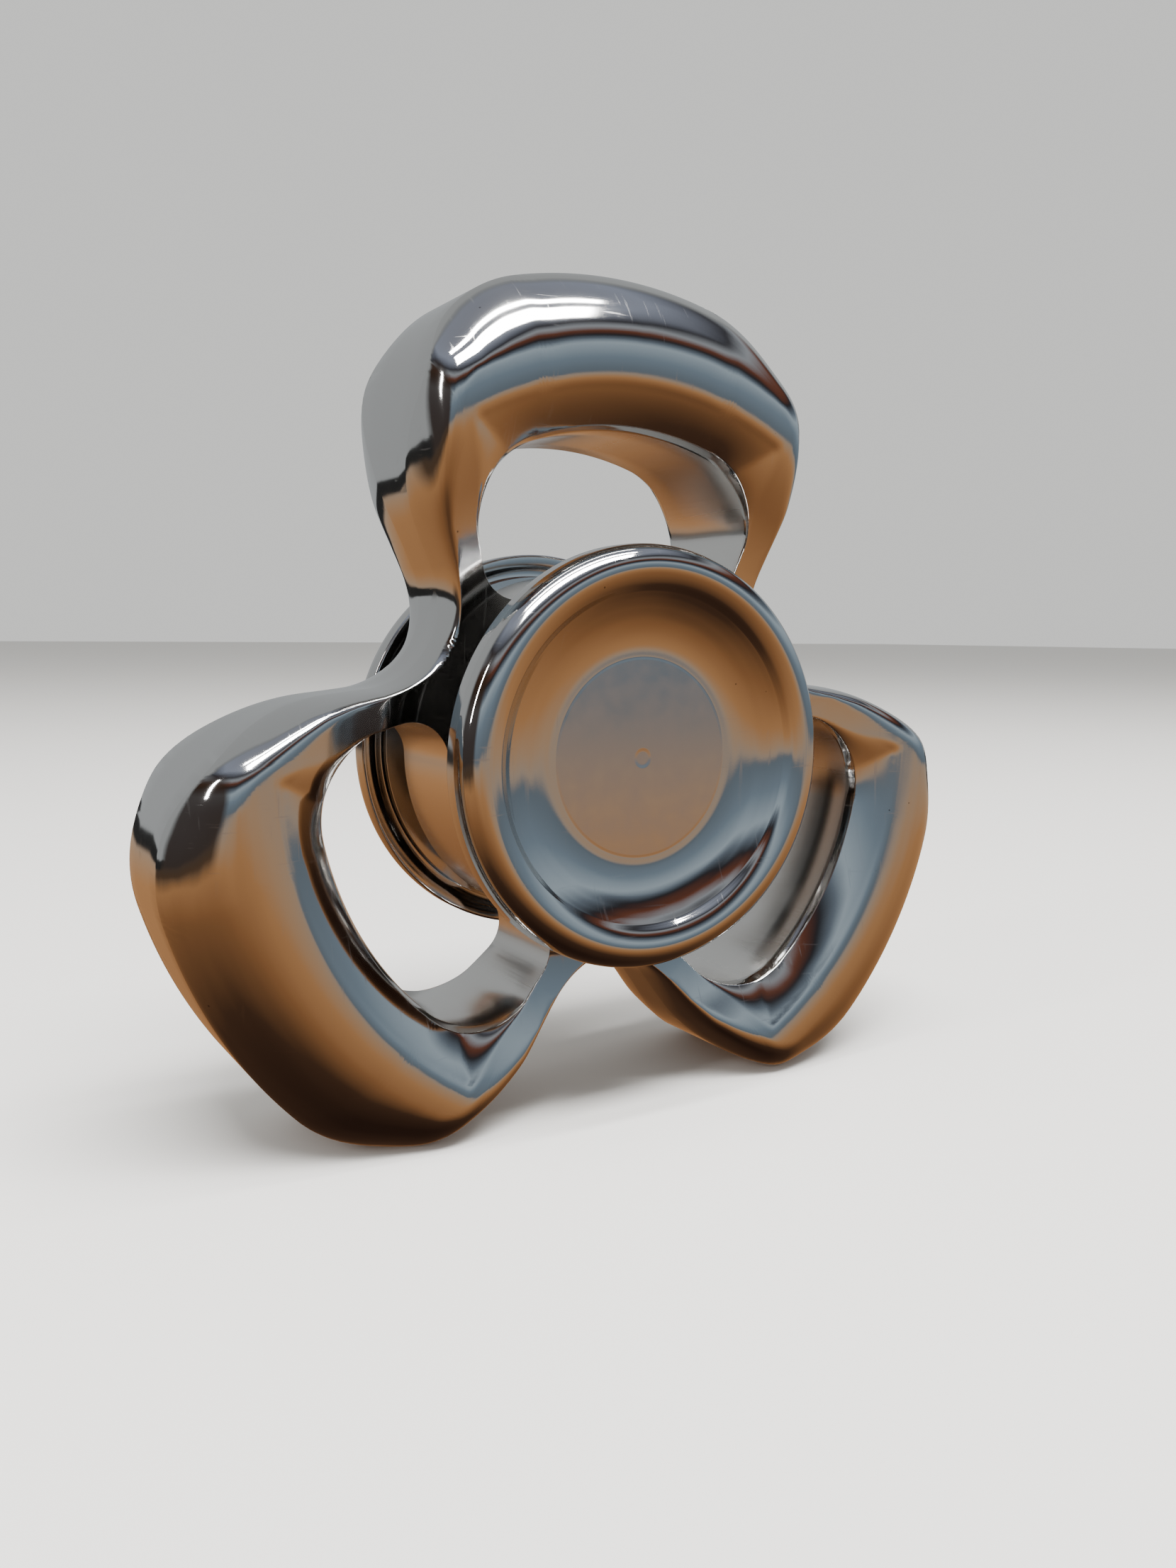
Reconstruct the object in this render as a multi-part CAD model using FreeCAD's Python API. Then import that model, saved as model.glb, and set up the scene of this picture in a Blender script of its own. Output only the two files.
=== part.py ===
"""A tri-lobe metal fidget spinner with two screw-together finger buttons on a small ball bearing.

Frame, in millimetres: the origin is the centre of the bearing, on the spin axis. +Y runs along the spin
axis to the rear button, +X points right and +Z up. The spinner stands on edge with one lobe straight up.
Plan shapes are drawn as (x, z) in the plane of the rotor. The model is the same front and rear, except for
the bearing cage, the retaining ring and the stud.
"""
import FreeCAD, Part
import math
import os
from FreeCAD import Vector

# Rotor: overall
LOBES = 3
LOBE_STEP = 360.0 / LOBES
TIP_R = 26.96  # circle through the lobe tips
WALL_HALF = 3.0  # half height of the upright side wall
CREST_HALF = 6.1  # half thickness at the crest around each window
HUB_HALF = 3.1  # half thickness of the hub
COVE_R = 9.5  # the cove starts at this radius on the hub
COVE_MID_R = 15.7  # it passes through this radius
COVE_MID_HALF = 4.2  # and this half thickness
COVE_END_R = 19.5  # and meets the crest here
ROUNDING_STEPS = 5  # flats over the rounded shoulder

# Rotor: rim outline at the side wall, for one lobe pointing up
RIM = {
    "tip_r": TIP_R,
    "corner_r": 7.87,
    "shoulder": (13.37, 16.73),
    "upper_lean": 17.2,
    "lower_lean": 23.7,
    "shoulder_r": 11.2,
    "crotch_r": 12.6,
}
# Rotor: crest outline, where the rounded shoulder ends
CREST = {
    "tip_r": 22.6,
    "corner_r": 1.5,
    "shoulder": (10.75, 14.5),
    "upper_lean": 1.0,
    "lower_lean": 14.0,
    "shoulder_r": 3.0,
    "crotch_r": 11.6,
}

# Rotor: window outline, upright between the two dishes
WINDOW = {
    "tip_r": 18.35,
    "corner_r": 4.9,
    "side": (9.1, 12.6),
    "upper_lean": 4.2,
    "lower_lean": 15.0,
    "side_r": 3.0,
    "foot_r": 2.3,
    "hub_r": 10.5,
}
EDGE_HALF = 3.9  # half depth of the window's upright wall
# Rotor: outline of the dish cutter at its open end, above the crest
DISH = {
    "tip_r": 21.9,
    "corner_r": 0.3,
    "side": (10.3, 14.4),
    "upper_lean": 0.5,
    "lower_lean": 9.0,
    "side_r": 3.0,
    "foot_r": 2.0,
    "hub_r": 10.0,
}
DISH_TOP = 7.5

# Bearing, size R188
BEARING_R = 6.35
BEARING_BORE_R = 3.175
BEARING_HALF = 2.381
BALLS = 10
BALL_R = 0.79375
PITCH_R = 4.7625
BALL_PLAY = 0.03
OUTER_LAND_R = 5.25
INNER_LAND_R = 4.25
SHIELD_SEAT_R = 5.75
SHIELD_SEAT_DEPTH = 0.40
SHIELD_THICK = 0.15
SHIELD_PLAY = 0.07
CLIP_THICK = 0.20
CLIP_BORE_R = 5.35
CLIP_GAP = 0.8
CAGE_PLAY = 0.12
CAGE_LOW = -0.45
CAGE_HIGH = 1.35
CAGE_POCKET_R = 0.86

# Bearing seat in the hub
SEAT_LIP_BORE_R = 5.9
RETAINER_THICK = 0.5
RETAINER_GROOVE_R = 6.85
RETAINER_BORE_R = 5.9
RETAINER_GAP = 2.4

# Buttons
BUTTON_R = 12.0
BUTTON_BACK = 5.9  # distance of the rim's back edge from the rotor's mid plane
BUTTON_CHAMFER = 0.25
BUTTON_EDGE_FRONT = 6.9  # end of the straight edge band
BUTTON_CREST_R = 10.75
BUTTON_CREST = 8.3
RIM_INSIDE_R = 10.0  # the rolled rim passes through this point on its way down to the bowl
RIM_INSIDE = 8.19
BOWL_EDGE_R = 9.5
BOWL_EDGE = 7.75
BOWL_MID_R = 7.6
BOWL_MID = 6.75
PAD_R = 5.7
PAD = 6.5
LIP_R = 11.2
LIP_GROOVE = 6.5
LIP_GROOVE_BORE_R = 10.6
BACK_FACE = 5.7
BACK_RECESS_R = 8.2
BACK_RECESS = 5.3
BOSS_R = 4.05
BOSS_ROOT_R = 5.2
SPIGOT_PLAY = 0.015
SPIGOT_END = 0.15
SHIM_THICK = 0.2
STUD_R = 2.0
STUD_PLAY = 0.02
STUD_DEPTH = 4.9  # depth of the tapped holes from the mid plane
STUD_REAR_ROOM = 0.4
HEX_FLATS = 2.0
HEX_DEPTH = 1.5

CUT_MARGIN = 1.0  # cutting shapes reach this far past the surfaces that they cut
SAME_POINT = 1e-6  # ends of edges nearer than this are joined directly

AXIS = Vector(0, 1, 0)
ORIGIN = Vector(0, 0, 0)


def plan(x, z, y=0.0):
    return Vector(x, y, z)


def turned(x, z, degrees):
    """A plan point turned about the spin axis, clockwise as seen from the front."""
    a = math.radians(degrees)
    return (x * math.cos(a) + z * math.sin(a), -x * math.sin(a) + z * math.cos(a))


def mixed(first, second, share):
    """A value, or each part of a pair, part of the way from the first to the second."""
    if isinstance(first, tuple):
        return tuple(mixed(a, b, share) for a, b in zip(first, second))
    return first + (second - first) * share


def lathe(points):
    """A solid turned about the spin axis from (radius, y) points, or arcs given by their end and middle."""
    edges = []
    start = Vector(points[0][0], points[0][1], 0)
    for point in points[1:] + points[:1]:
        end = Vector(point[0], point[1], 0)
        if len(point) == 4:
            middle = Vector(point[2], point[3], 0)
            edges.append(Part.Arc(start, middle, end).toShape())
        else:
            edges.append(Part.LineSegment(start, end).toShape())
        start = end
    face = Part.Face(Part.Wire(edges))
    return face.revolve(ORIGIN, AXIS, 360)


def mirrored(shape):
    """The same shape on the other side of the rotor's mid plane."""
    return shape.mirror(ORIGIN, AXIS)


def flipped(points):
    """Lathe points on the other side of the rotor's mid plane."""
    return [tuple(-v if i % 2 else v for i, v in enumerate(point)) for point in points]


def arc_between(centre, radius, first, last, y):
    """An arc about a plan centre from angle first to angle last, in degrees from +X towards +Z."""
    ends = []
    for angle in (first, (first + last) / 2.0, last):
        a = math.radians(angle)
        ends.append(plan(centre[0] + radius * math.cos(a), centre[1] + radius * math.sin(a), y))
    return Part.Arc(ends[0], ends[1], ends[2]).toShape()


def lean(degrees):
    """The direction square to a side that leans by an angle, pointing right and up."""
    a = math.radians(degrees)
    return (math.cos(a), math.sin(a))


def corner_in_circle(tip_r, corner_r, side, degrees):
    """Centre of the arc that joins the tip circle to a side, and the angle at which it starts."""
    across = lean(degrees)
    off = across[0] * side[0] + across[1] * side[1] - corner_r
    along = math.sqrt((tip_r - corner_r) ** 2 - off ** 2)
    centre = (off * across[0] - along * across[1], off * across[1] + along * across[0])
    return centre, math.degrees(math.atan2(centre[1], centre[0]))


def bend_centre(point, radius, upper, lower):
    """Centre of the arc that bends the upper side into the lower one, where they would meet at the point."""
    back = radius / math.cos(math.radians((upper + lower) / 2.0))
    middle = lean((upper - lower) / 2.0)
    return (point[0] - back * middle[0], point[1] - back * middle[1])


def half_lobe(shape):
    """Arcs of a lobe's right half, from tip to crotch, each as (centre, radius, from, to)."""
    upper, lower = shape["upper_lean"], shape["lower_lean"]
    corner, corner_top = corner_in_circle(shape["tip_r"], shape["corner_r"], shape["shoulder"], upper)
    shoulder = bend_centre(shape["shoulder"], shape["shoulder_r"], upper, lower)
    # crotch arc, centred between two lobes and against the lower side
    across = lean(-lower)
    ray = turned(0.0, 1.0, LOBE_STEP / 2.0)
    slope = across[0] * ray[0] + across[1] * ray[1]
    off = across[0] * shape["shoulder"][0] + across[1] * shape["shoulder"][1]
    crotch_arc_r = (slope * shape["crotch_r"] - off) / (1.0 - slope)
    reach = shape["crotch_r"] + crotch_arc_r
    return [
        ((0.0, 0.0), shape["tip_r"], 90.0, corner_top),
        (corner, shape["corner_r"], corner_top, upper),
        (shoulder, shape["shoulder_r"], upper, -lower),
        ((reach * ray[0], reach * ray[1]), crotch_arc_r, 180.0 - lower, 270.0 - LOBE_STEP / 2.0),
    ]


def mirror_images(arcs):
    """The arcs on the other side of a lobe's middle line, in an order that keeps them clockwise."""
    return [((-c[0], c[1]), r, 180.0 - last, 180.0 - first) for c, r, first, last in reversed(arcs)]


def joined_wire(arcs, y):
    """A closed wire of arcs in order, with a straight edge wherever one arc ends away from the next."""
    edges = []
    for centre, radius, first, last in arcs:
        arc = arc_between(centre, radius, first, last, y)
        start = arc.firstVertex(True).Point
        if edges and edges[-1].lastVertex(True).Point.distanceToPoint(start) > SAME_POINT:
            edges.append(Part.LineSegment(edges[-1].lastVertex(True).Point, start).toShape())
        edges.append(arc)
    return Part.Wire(edges)


def closed_outline(shape, y):
    """The rotor's whole outline at height y, as one closed wire that runs clockwise from a crotch."""
    half = half_lobe(shape)
    arcs = []
    for lobe in range(LOBES):
        turn = lobe * LOBE_STEP
        for centre, radius, first, last in mirror_images(half) + half:
            arcs.append((turned(centre[0], centre[1], turn), radius, first - turn, last - turn))
    return joined_wire(arcs, y)


def stacked(wires):
    """A solid through closed wires that have the same edges in the same order, with flat ends."""
    faces = [Part.Face(wires[0]), Part.Face(wires[-1])]
    for lower, upper in zip(wires, wires[1:]):
        for first, second in zip(lower.OrderedEdges, upper.OrderedEdges):
            faces.append(Part.makeRuledSurface(first, second))
    shell = Part.makeShell(faces)
    shell.sewShape()
    solid = Part.makeSolid(shell)
    if solid.Volume < 0:
        solid.reverse()
    return solid


def rounded_shoulder():
    """The front half of the rotor above its side wall, shrinking from rim to crest on an ellipse."""
    wires = []
    for step in range(ROUNDING_STEPS + 1):
        angle = math.radians(90.0 * step / ROUNDING_STEPS)
        share = 1.0 - math.cos(angle)
        shape = {name: mixed(RIM[name], CREST[name], share) for name in RIM}
        height = WALL_HALF + (CREST_HALF - WALL_HALF) * math.sin(angle)
        wires.append(closed_outline(shape, -height))
    return stacked(wires)


def window_wire(shape, y):
    """A window: tip arc, rounded corners, sides that draw in to the hub, and an arc along the hub."""
    upper, lower, foot_r = shape["upper_lean"], shape["lower_lean"], shape["foot_r"]
    corner, corner_top = corner_in_circle(shape["tip_r"], shape["corner_r"], shape["side"], upper)
    side = bend_centre(shape["side"], shape["side_r"], upper, lower)
    # foot arc, outside the hub ring and inside the lower side
    across = lean(-lower)
    off = across[0] * shape["side"][0] + across[1] * shape["side"][1] - foot_r
    along = math.sqrt((shape["hub_r"] + foot_r) ** 2 - off ** 2)
    foot = (off * across[0] - along * across[1], off * across[1] + along * across[0])
    foot_angle = math.degrees(math.atan2(foot[1], foot[0]))
    half = [
        ((0.0, 0.0), shape["tip_r"], 90.0, corner_top),
        (corner, shape["corner_r"], corner_top, upper),
        (side, shape["side_r"], upper, -lower),
        (foot, foot_r, -lower, foot_angle - 180.0),
        ((0.0, 0.0), shape["hub_r"], foot_angle, 90.0),
    ]
    return joined_wire(half + mirror_images(half), y)


def window_cutters():
    """One window: the straight hole, and the dishes that open out from it, front and rear."""
    hole = Part.Face(window_wire(WINDOW, -DISH_TOP)).extrude(Vector(0, 2.0 * DISH_TOP, 0))
    dish = stacked([window_wire(WINDOW, -EDGE_HALF), window_wire(DISH, -DISH_TOP)])
    return [hole, dish, mirrored(dish)]


def rotor_frame():
    """The one-piece tri-lobe rotor with its windows, hub cove and bearing seat."""
    wall = Part.Face(closed_outline(RIM, -WALL_HALF)).extrude(Vector(0, 2.0 * WALL_HALF, 0))
    shoulder = rounded_shoulder()
    blank = wall.fuse([shoulder, mirrored(shoulder)])
    far = TIP_R + CUT_MARGIN
    envelope = lathe([
        (0.0, -HUB_HALF),
        (COVE_R, -HUB_HALF),
        (COVE_END_R, -CREST_HALF, COVE_MID_R, -COVE_MID_HALF),
        (far, -CREST_HALF),
        (far, CREST_HALF),
        (COVE_END_R, CREST_HALF),
        (COVE_R, HUB_HALF, COVE_MID_R, COVE_MID_HALF),
        (0.0, HUB_HALF),
    ])
    blank = blank.common(envelope)
    cutters = []
    for lobe in range(LOBES):
        for tool in window_cutters():
            tool.rotate(ORIGIN, AXIS, lobe * LOBE_STEP)
            cutters.append(tool)
    groove_low = -BEARING_HALF - RETAINER_THICK
    far_y = HUB_HALF + CUT_MARGIN
    cutters.append(lathe([
        (0.0, -far_y),
        (BEARING_R, -far_y),
        (BEARING_R, groove_low),
        (RETAINER_GROOVE_R, groove_low),
        (RETAINER_GROOVE_R, -BEARING_HALF),
        (BEARING_R, -BEARING_HALF),
        (BEARING_R, BEARING_HALF),
        (SEAT_LIP_BORE_R, BEARING_HALF),
        (SEAT_LIP_BORE_R, far_y),
        (0.0, far_y),
    ]))
    return blank.cut(cutters).removeSplitter()


def split_ring(outer, bore, low, high, gap):
    """A flat spring ring with a gap at the top."""
    ring = lathe([(bore, low), (outer, low), (outer, high), (bore, high)])
    depth = high - low + 2.0 * CUT_MARGIN
    slot = Part.makeBox(gap, depth, outer + CUT_MARGIN, Vector(-gap / 2.0, low - CUT_MARGIN, 0.0))
    return ring.cut(slot)


def retaining_ring():
    """The snap ring in the hub's front groove, which keeps the bearing against the rear lip."""
    return split_ring(
        RETAINER_GROOVE_R, RETAINER_BORE_R, -BEARING_HALF - RETAINER_THICK, -BEARING_HALF, RETAINER_GAP
    )


def ball_track():
    """The ring-shaped space that the balls run in, a little larger than a ball."""
    return Part.makeTorus(PITCH_R, BALL_R + BALL_PLAY, ORIGIN, AXIS)


def outer_race():
    seat = BEARING_HALF - SHIELD_SEAT_DEPTH
    ring = lathe([
        (BEARING_R, -BEARING_HALF),
        (BEARING_R, BEARING_HALF),
        (SHIELD_SEAT_R, BEARING_HALF),
        (SHIELD_SEAT_R, seat),
        (OUTER_LAND_R, seat),
        (OUTER_LAND_R, -seat),
        (SHIELD_SEAT_R, -seat),
        (SHIELD_SEAT_R, -BEARING_HALF),
    ])
    return ring.cut(ball_track())


def inner_race():
    ring = lathe([
        (BEARING_BORE_R, -BEARING_HALF),
        (BEARING_BORE_R, BEARING_HALF),
        (INNER_LAND_R, BEARING_HALF),
        (INNER_LAND_R, -BEARING_HALF),
    ])
    return ring.cut(ball_track())


def shield():
    """The front shield: a thin washer on the outer race's step, clear of the inner race."""
    low = -BEARING_HALF + SHIELD_SEAT_DEPTH
    bore = INNER_LAND_R + SHIELD_PLAY
    high = low - SHIELD_THICK
    return lathe([(bore, high), (SHIELD_SEAT_R, high), (SHIELD_SEAT_R, low), (bore, low)])


def shield_clip():
    """The spring clip that holds the front shield in the outer race."""
    high = -BEARING_HALF + SHIELD_SEAT_DEPTH - SHIELD_THICK
    return split_ring(SHIELD_SEAT_R, CLIP_BORE_R, high - CLIP_THICK, high, CLIP_GAP)


def ball_centre(index):
    x, z = turned(0.0, PITCH_R, index * 360.0 / BALLS)
    return plan(x, z)


def ball_cage():
    """A crown cage: one ring with open pockets that the balls snap into."""
    bore, outer = INNER_LAND_R + CAGE_PLAY, OUTER_LAND_R - CAGE_PLAY
    ring = lathe([(bore, CAGE_LOW), (outer, CAGE_LOW), (outer, CAGE_HIGH), (bore, CAGE_HIGH)])
    pockets = [Part.makeSphere(CAGE_POCKET_R, ball_centre(index)) for index in range(BALLS)]
    return ring.cut(pockets)


def button(tapped_end):
    """The front button: dished pad, rolled rim, undercut back, boss and spigot with a tapped blind hole."""
    boss_end = BEARING_HALF + SHIM_THICK
    spigot = BEARING_BORE_R - SPIGOT_PLAY
    rim_mid_r = BUTTON_CREST_R + (BUTTON_R - BUTTON_CREST_R) * math.sqrt(0.5)
    rim_mid = BUTTON_EDGE_FRONT + (BUTTON_CREST - BUTTON_EDGE_FRONT) * math.sqrt(0.5)
    profile = [
        (0.0, PAD),
        (PAD_R, PAD),
        (BOWL_EDGE_R, BOWL_EDGE, BOWL_MID_R, BOWL_MID),
        (BUTTON_CREST_R, BUTTON_CREST, RIM_INSIDE_R, RIM_INSIDE),
        (BUTTON_R, BUTTON_EDGE_FRONT, rim_mid_r, rim_mid),
        (BUTTON_R, BUTTON_BACK + BUTTON_CHAMFER),
        (BUTTON_R - BUTTON_CHAMFER, BUTTON_BACK),
        (LIP_R, BUTTON_BACK),
        (LIP_R, LIP_GROOVE),
        (LIP_GROOVE_BORE_R, LIP_GROOVE),
        (LIP_GROOVE_BORE_R, BACK_FACE),
        (BACK_RECESS_R, BACK_FACE),
        (BACK_RECESS_R, BACK_RECESS),
        (BOSS_ROOT_R, BACK_RECESS),
        (BOSS_R, BACK_RECESS - (BOSS_ROOT_R - BOSS_R)),
        (BOSS_R, boss_end),
        (spigot, boss_end),
        (spigot, SPIGOT_END),
        (STUD_R, SPIGOT_END),
        (STUD_R, tapped_end),
        (0.0, tapped_end),
    ]
    return lathe(flipped(profile))


def shim():
    """The front spacer between the button's boss and the inner race."""
    low, high = -BEARING_HALF - SHIM_THICK, -BEARING_HALF
    return lathe([(BEARING_BORE_R, low), (BOSS_R, low), (BOSS_R, high), (BEARING_BORE_R, high)])


def button_stud():
    """The headless screw that joins the two buttons, with a hexagon socket in its rear end."""
    front, rear = -STUD_DEPTH, STUD_DEPTH - STUD_REAR_ROOM
    body = Part.makeCylinder(STUD_R - STUD_PLAY, rear - front, Vector(0, front, 0), AXIS)
    corner_r = HEX_FLATS / math.sqrt(3.0)
    corners = [plan(*turned(0.0, corner_r, side * 60.0), rear) for side in range(6)]
    socket = Part.Face(Part.makePolygon(corners + corners[:1])).extrude(Vector(0, -HEX_DEPTH, 0))
    return body.cut(socket)


def save(node, shape):
    shape.exportStep("parts/" + node + ".step")
    print(node, round(shape.Volume, 2), "solids", len(shape.Solids), "valid", shape.isValid())


os.makedirs("parts", exist_ok=True)
front_button = button(STUD_DEPTH)
save("rotor_frame", rotor_frame())
save("bearing_outer_race", outer_race())
save("bearing_retaining_ring", retaining_ring())
save("front_shield", shield())
save("rear_shield", mirrored(shield()))
save("front_shield_clip", shield_clip())
save("rear_shield_clip", mirrored(shield_clip()))
save("ball_cage", ball_cage())
for number in range(BALLS):
    save("ball_%02d" % (number + 1), Part.makeSphere(BALL_R, ball_centre(number)))
save("bearing_inner_race", inner_race())
save("front_button", front_button)
save("rear_button", mirrored(front_button))
save("front_shim", shim())
save("rear_shim", mirrored(shim()))
save("button_stud", button_stud())
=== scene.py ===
"""Looks of a polished steel fidget spinner: a three-lobe rotor, two dished buttons and a small bearing.

Shapes are worked out in millimetres and turned into metres as their meshes are made. The rotor lies in
the XZ plane about the spin axis Y. One lobe is drawn pointing up, with u across it and w along it.
"""
import math

import bmesh
import bpy
import numpy as np
from mathutils import Matrix, Vector


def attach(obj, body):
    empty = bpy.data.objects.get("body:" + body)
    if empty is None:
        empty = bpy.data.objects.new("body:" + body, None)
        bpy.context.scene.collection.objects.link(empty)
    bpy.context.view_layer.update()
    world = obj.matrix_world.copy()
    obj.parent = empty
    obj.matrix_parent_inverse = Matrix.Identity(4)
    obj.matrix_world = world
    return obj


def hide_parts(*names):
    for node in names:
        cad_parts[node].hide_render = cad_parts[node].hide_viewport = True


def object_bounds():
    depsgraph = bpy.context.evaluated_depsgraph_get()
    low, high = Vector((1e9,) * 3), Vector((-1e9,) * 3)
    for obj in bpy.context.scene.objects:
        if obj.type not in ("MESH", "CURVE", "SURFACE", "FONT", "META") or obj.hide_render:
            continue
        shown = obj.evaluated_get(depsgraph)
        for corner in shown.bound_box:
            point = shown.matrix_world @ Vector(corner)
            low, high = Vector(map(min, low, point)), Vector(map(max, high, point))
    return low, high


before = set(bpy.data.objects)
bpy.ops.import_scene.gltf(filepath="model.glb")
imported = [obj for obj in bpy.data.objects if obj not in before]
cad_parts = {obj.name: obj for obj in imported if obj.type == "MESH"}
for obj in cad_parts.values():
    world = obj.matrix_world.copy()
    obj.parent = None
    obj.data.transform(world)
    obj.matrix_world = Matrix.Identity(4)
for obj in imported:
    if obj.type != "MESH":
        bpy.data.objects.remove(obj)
cad_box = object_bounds()

MM = 0.001
MM_PER_M = 1000.0

# Rotor, in millimetres
LOBES = 3
LOBE_STEP = 360.0 / LOBES
CREST_HALF = 6.1
HUB_HALF = 3.1
# the cove climbs from the hub to the crest, through a middle point
COVE_R, COVE_MID_R, COVE_MID_HALF, COVE_END_R = 9.5, 16.0, 4.15, 20.2
SEAT_R = 6.35
SEAT_LIP_R = 5.9
SEAT_HALF = 2.381
GROOVE_R, GROOVE_DEPTH = 6.85, 0.5
TIP_WALL_HALF, NECK_WALL_HALF = 3.0, 1.25  # half height of the side wall at a lobe's tip and neck
NECK_FROM, NECK_TO = 33.0, 44.0  # degrees from the lobe's middle between which it narrows
CORNER_AT, CORNER_SPREAD, CORNER_GAIN = 30.5, 4.3, 1.4  # it is taller round the lobe's corner
# outlines: radii, a point on the side where it bends, and the leans above and below it in degrees
RIM = dict(
    tip_r=26.96, corner_r=7.87, shoulder=(13.37, 16.73), upper=17.2, lower=23.7,
    shoulder_r=11.2, crotch_r=12.6,
)
CREST_OUT = dict(
    tip_r=22.6, corner_r=1.5, shoulder=(10.75, 14.5), upper=1.0, lower=14.0,
    shoulder_r=3.0, crotch_r=10.9,
)
WINDOW = dict(
    tip_r=18.35, corner_r=4.9, side=(9.1, 12.6), upper=4.2, lower=15.0,
    side_r=3.0, foot_r=2.3, hub_r=10.5,
)
CREST_IN = dict(
    tip_r=20.5, corner_r=0.3, side=(9.85, 14.0), upper=0.0, lower=9.0,
    side_r=3.0, foot_r=2.0, hub_r=10.0,
)
EDGE_HALF = 3.9  # half depth of the window's upright wall
LEDGE_SHARE, LEDGE_RISE = 0.12, 0.31  # the steep start of the dish, as shares of its width and depth
DISH_RUNOFF = 1.2  # how steeply the dish is carried on past the crest, so that the shoulder wins there
SHOULDER_POWER = 0.8  # 0.5 would be round; higher leaves a crisper ridge
COVE_BLEND, CREST_BLEND = 1.4, 0.8  # rounding where two surfaces meet


def rotate(points, degrees):
    """Plan points turned clockwise about the spin axis, as seen from the front."""
    a = math.radians(degrees)
    c, s = math.cos(a), math.sin(a)
    return np.stack([points[:, 0] * c + points[:, 1] * s, -points[:, 0] * s + points[:, 1] * c], 1)


def arc(centre, radius, first, last, count):
    """Points of an arc, from angle first to angle last, both ends included."""
    a = np.radians(np.linspace(first, last, count))
    return np.stack([centre[0] + radius * np.cos(a), centre[1] + radius * np.sin(a)], 1)


def corner_in_circle(tip_r, corner_r, point, lean):
    """Centre and top angle of the arc that rounds a tip circle into the straight side through a point."""
    n = (math.cos(math.radians(lean)), math.sin(math.radians(lean)))
    off = n[0] * point[0] + n[1] * point[1] - corner_r
    along = math.sqrt((tip_r - corner_r) ** 2 - off ** 2)
    centre = (off * n[0] - along * n[1], off * n[1] + along * n[0])
    return centre, math.degrees(math.atan2(centre[1], centre[0]))


def bend_centre(point, radius, upper, lower):
    """Centre of the arc that rounds the bend between an upper and a lower side."""
    back = radius / math.cos(math.radians((upper + lower) / 2.0))
    middle = math.radians((upper - lower) / 2.0)
    return point[0] - back * math.cos(middle), point[1] - back * math.sin(middle)


def rim_arcs(d):
    """Tip, corner, shoulder and crotch arcs of the right half of a lobe."""
    corner_c, corner_top = corner_in_circle(d["tip_r"], d["corner_r"], d["shoulder"], d["upper"])
    shoulder_c = bend_centre(d["shoulder"], d["shoulder_r"], d["upper"], d["lower"])
    half = math.radians(LOBE_STEP / 2.0)
    ray = (math.sin(half), math.cos(half))
    n = (math.cos(math.radians(d["lower"])), -math.sin(math.radians(d["lower"])))
    slope = n[0] * ray[0] + n[1] * ray[1]
    off = n[0] * d["shoulder"][0] + n[1] * d["shoulder"][1]
    rk = (slope * d["crotch_r"] - off) / (1.0 - slope)
    crotch_c = ((d["crotch_r"] + rk) * ray[0], (d["crotch_r"] + rk) * ray[1])
    return [
        ((0.0, 0.0), d["tip_r"], 90.0, corner_top),
        (corner_c, d["corner_r"], corner_top, d["upper"]),
        (shoulder_c, d["shoulder_r"], d["upper"], -d["lower"]),
        (crotch_c, rk, 180.0 - d["lower"], 270.0 - LOBE_STEP / 2.0),
    ]


def window_arcs(d):
    """Tip, corner, side, foot and hub arcs of the right half of a window."""
    corner_c, corner_top = corner_in_circle(d["tip_r"], d["corner_r"], d["side"], d["upper"])
    side_c = bend_centre(d["side"], d["side_r"], d["upper"], d["lower"])
    n = (math.cos(math.radians(d["lower"])), -math.sin(math.radians(d["lower"])))
    off = n[0] * d["side"][0] + n[1] * d["side"][1] - d["foot_r"]
    along = math.sqrt((d["hub_r"] + d["foot_r"]) ** 2 - off ** 2)
    foot_c = (off * n[0] - along * n[1], off * n[1] + along * n[0])
    foot_angle = math.degrees(math.atan2(foot_c[1], foot_c[0]))
    return [
        ((0.0, 0.0), d["tip_r"], 90.0, corner_top),
        (corner_c, d["corner_r"], corner_top, d["upper"]),
        (side_c, d["side_r"], d["upper"], -d["lower"]),
        (foot_c, d["foot_r"], -d["lower"], foot_angle - 180.0),
        ((0.0, 0.0), d["hub_r"], foot_angle, 90.0),
    ]


def path(arcs, counts, gap_counts):
    """Points along arcs and the straight runs between them, in order from the first arc to the last."""
    parts = []
    for index, (one, count) in enumerate(zip(arcs, counts)):
        points = arc(*one, count)
        if parts:
            share = np.linspace(0.0, 1.0, gap_counts[index - 1] + 1)[1:, None]
            last = parts[-1][-1]
            if gap_counts[index - 1]:
                parts.append(last + (points[0] - last) * share)
            points = points[1:]
        parts.append(points)
    return np.concatenate(parts)


# Rotor mesh: points along each stretch of an outline, which match from the window across to the rim
WINDOW_COUNTS = (15, 30, 10, 16, 21)  # tip, corner, side, foot, hub
WINDOW_GAPS = (0, 3, 20, 0)
RIM_COUNTS = (15, 30, 20, 14)  # tip, corner, shoulder, crotch
RIM_GAPS = (0, 3, 2)
SEAM_COUNT = 18  # from the crotch inwards to the bore, closest together at the crotch
BORE_COUNT = 13
ACROSS = 60  # rows from window to rim
FINE = 400  # points of each row of section before it is spaced out
LINE_STEP = 0.1  # mm between the points of an outline that distances are taken from
ARC_POINTS_MIN, GAP_POINTS = 6, 40  # least points of an arc, and points of a straight run, of that outline
NEAR_FROM = -40.0  # degrees from the top lobe's middle at which an outline starts to count as near
CHUNK = 8000  # points whose distances are worked out at a time
TINY, TINY_SQUARE = 1e-9, 1e-12  # keep a division by a length, or by its square, from failing
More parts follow.
